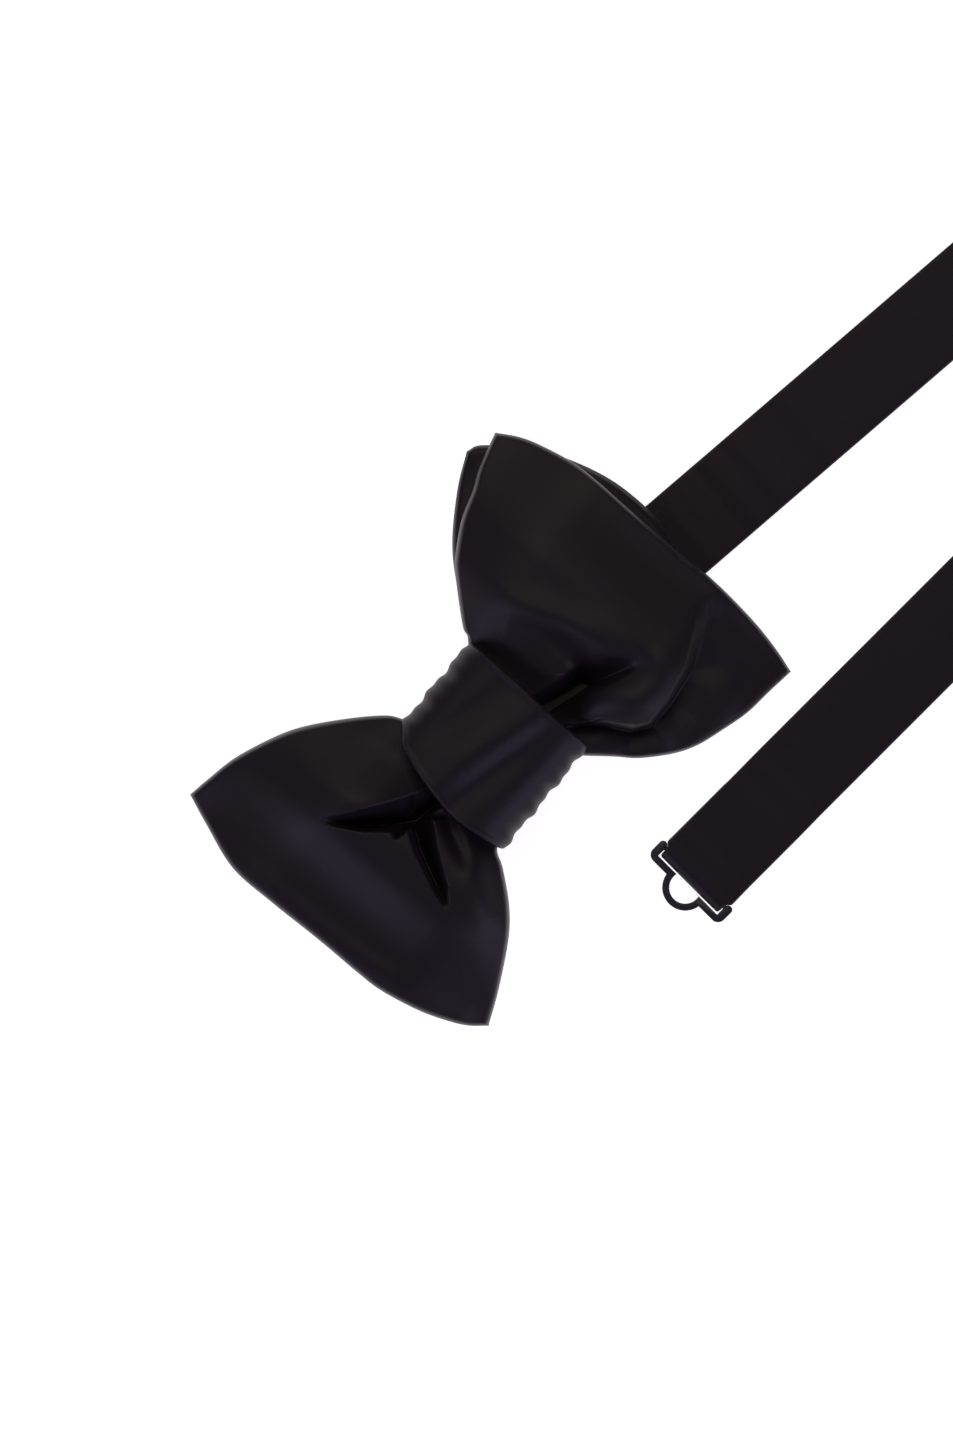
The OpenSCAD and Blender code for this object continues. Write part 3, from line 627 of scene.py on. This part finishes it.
def band_section(width):
    """Corners of the sewn band: soft folded edges, a slight crown and a seam down the back."""
    half, t, hem = width / 2, BAND_T / 2, 0.55
    flat_half = half - hem
    front = [(q * flat_half, t * (0.93 + 0.07 * (1 - abs(q) ** 3))) for q in
             (1, 0.96, 0.9, 0.7, 0.45, 0.2, 0, -0.2, -0.45, -0.7, -0.9, -0.96, -1)]
    turn = [(-half + hem * (1 - math.sin(a)), t * 0.93 * math.cos(a))
            for a in np.radians([30, 60, 90, 120, 150])]
    back = [(q * flat_half, -t * (0.93 + 0.07 * (abs(q) < 0.06))) for q in
            (-1, -0.9, -0.5, -0.1, -0.05, 0, 0.05, 0.1, 0.5, 0.9, 1)]
    turn_up = [(-a, -b) for a, b in turn]
    return front + turn + back + turn_up


def band_piece(name, stations, replaced, body=None):
    """A closed stretch of sewn band through its stations."""
    stations = list(stations)
    points = [c + q * side + r * face
              for c, side, face, width in stations for q, r in band_section(width)]
    n = len(band_section(BAND_W))
    faces = [(i * n + j, i * n + (j + 1) % n, (i + 1) * n + (j + 1) % n, (i + 1) * n + j)
             for i in range(len(stations) - 1) for j in range(n)]
    faces += [tuple(reversed(range(n))), tuple((len(stations) - 1) * n + j for j in range(n))]
    piece = new_piece(name, points, faces, satin, body)
    centres = np.array([s[0] for s in stations])
    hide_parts(*replaced)
    return piece


band_piece("neckband_near_strand", near_band(), ["neckband_near", "near_interlining"], "band")
band_piece("neckband_return_strand", return_band(),
           ["neckband_far", "far_interlining", "eye_bartack"], "band_return")
far_piece = band_piece("neckband_far_turn", far_turn(), ["neckband_near", "neckband_far"])
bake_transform(far_piece)
tail_piece = band_piece("neckband_tail", tail_band(), ["band_tail", "adjuster_bartack"], "band")
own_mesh(tail_piece)


# ---------------------------------------------------------------- keeper loop

def keeper():
    """Folded satin loop on the back of the knot that carries the neckband."""
    low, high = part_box("keeper_loop")
    x0, x1 = low[0] / MM, high[0] / MM
    half, top, wall = high[1] / MM, high[2] / MM, 0.75
    outline = []
    for cy, cz, start in ((half - 1, 1, -90), (half - 1, top - 1, 0), (1 - half, top - 1, 90),
                          (1 - half, 1, 180)):
        for a in np.radians(np.linspace(start, start + 90, 7)):
            outline.append((cy, cz, math.cos(a), math.sin(a)))
    # section of the strip as (place along the bow, depth in from its outer face)
    across = [(x0, 0.35), (x0 + 0.1, 0.1), (x0 + 0.5, 0), ((x0 + x1) / 2, 0.05), (x1 - 0.5, 0),
              (x1 - 0.1, 0.1), (x1, 0.35), (x1, wall - 0.1), (x1 - 0.5, wall), (x0 + 0.5, wall),
              (x0, wall - 0.1)]
    points = [(x, cy + (1 - inset) * c, cz + (1 - inset) * s)
              for cy, cz, c, s in outline for x, inset in across]
    n, m = len(outline), len(across)
    faces = [(i * m + j, i * m + (j + 1) % m, (i + 1) % n * m + (j + 1) % m, (i + 1) % n * m + j)
             for i in range(n) for j in range(m)]
    piece = new_piece("keeper", points, faces, satin, "bow")
    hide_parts("keeper_loop")


keeper()


# ---------------------------------------------------------------- hook, eye and adjuster

def stamped(name, node, body, edge):
    """A stamped steel fitting with its edges broken: the CAD node's shape, bevelled."""
    source = bpy.data.objects[node]
    piece = source.copy()
    piece.data = source.data.copy()
    piece.name = piece.data.name = name
    for key in list(piece.keys()):
        if key.startswith("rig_"):
            del piece[key]
    piece.parent = None
    bpy.context.scene.collection.objects.link(piece)
    only(piece)
    bpy.ops.object.mode_set(mode="EDIT")
    bpy.ops.mesh.select_all(action="SELECT")
    bpy.ops.mesh.remove_doubles(threshold=0.000005)
    bpy.ops.mesh.dissolve_limited(angle_limit=math.radians(4))
    bpy.ops.object.mode_set(mode="OBJECT")
    bevel = piece.modifiers.new("broken_edge", "BEVEL")
    bevel.width = edge * MM
    bevel.segments = 3
    bevel.limit_method = "ANGLE"
    bevel.angle_limit = math.radians(40)
    bpy.ops.object.modifier_apply(modifier=bevel.name)
    bpy.ops.object.shade_smooth_by_angle(angle=math.radians(35))
    finish_piece(piece, enamel, body)
    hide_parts(node)


stamped("eye_fitting", "eye_plate", "eye", 0.3)
stamped("hook_fitting", "hook_plate", "hook", 0.2)
stamped("adjuster_fitting", "adjuster_slide", "adjuster", 0.2)

for node in ("knot_seam_stitches", "keeper_stitches"):
    stitches = bpy.data.objects[node].data
    stitches.materials.clear()
    stitches.materials.append(thread)


# ---------------------------------------------------------------- table, light and camera

TILT = math.radians(50.3)       # how far the camera's upright is turned from the bow's +Y
VIEW_CENTRE = (2.2 * MM, 5.9 * MM)
VIEW_HEIGHT, LENS, SENSOR = 0.360, 120.0, 36.0      # metres seen from top to bottom, and mm
TABLE_DROP = 0.0005             # metres that the table lies below the tie, so they don't touch

bpy.ops.object.select_all(action="DESELECT")
bpy.ops.mesh.primitive_plane_add(size=6, location=(0, 0, -TABLE_DROP))
table = bpy.context.object
table.name = "table"
table.data.materials.append(white_table())
table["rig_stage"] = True

bpy.ops.object.camera_add(location=(*VIEW_CENTRE, VIEW_HEIGHT * LENS / SENSOR),
                          rotation=(0, 0, -TILT))
camera = bpy.context.object
camera.data.lens = LENS
camera.data.sensor_width = SENSOR
bpy.context.scene.camera = camera


def soft_light(name, bearing, elevation, distance, size, watts, colour):
    """A softbox aimed at the knot, its distance and size in metres. bearing is in degrees
    round the camera's view, 0 at its right and 90 at its top."""
    turn = math.radians(bearing) - TILT
    up = math.radians(elevation)
    way = Vector((math.cos(turn) * math.cos(up), math.sin(turn) * math.cos(up), math.sin(up)))
    place = way * distance
    bpy.ops.object.light_add(type="AREA", location=place)
    lamp = bpy.context.object
    lamp.name = name
    lamp.rotation_euler = (-place).to_track_quat("-Z", "Y").to_euler()
    lamp.data.size = size
    lamp.data.energy = watts
    lamp.data.color = linear(colour)[:3]


soft_light("overhead", 96, 62, 2.2, 1.2, 9.5, "#ffe6dc")
soft_light("lower_left_box", 215, 34, 1.5, 0.9, 6.5, "#e2d2ff")
soft_light("lower_right_box", 318, 32, 1.5, 0.9, 6.5, "#e2d2ff")
soft_light("upper_box", 80, 30, 1.8, 0.8, 1.5, "#fff6ee")

bpy.context.scene.view_settings.view_transform = "Standard"
world = bpy.data.worlds.new("studio")
bpy.context.scene.world = world
world.use_nodes = True
world.node_tree.nodes["Background"].inputs["Color"].default_value = (0.9, 0.9, 0.92, 1)
world.node_tree.nodes["Background"].inputs["Strength"].default_value = 0.05

flat = lambda box: [[float(v) for v in corner] for corner in box]
{"cad": flat(cad_box), "visual": flat(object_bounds())}
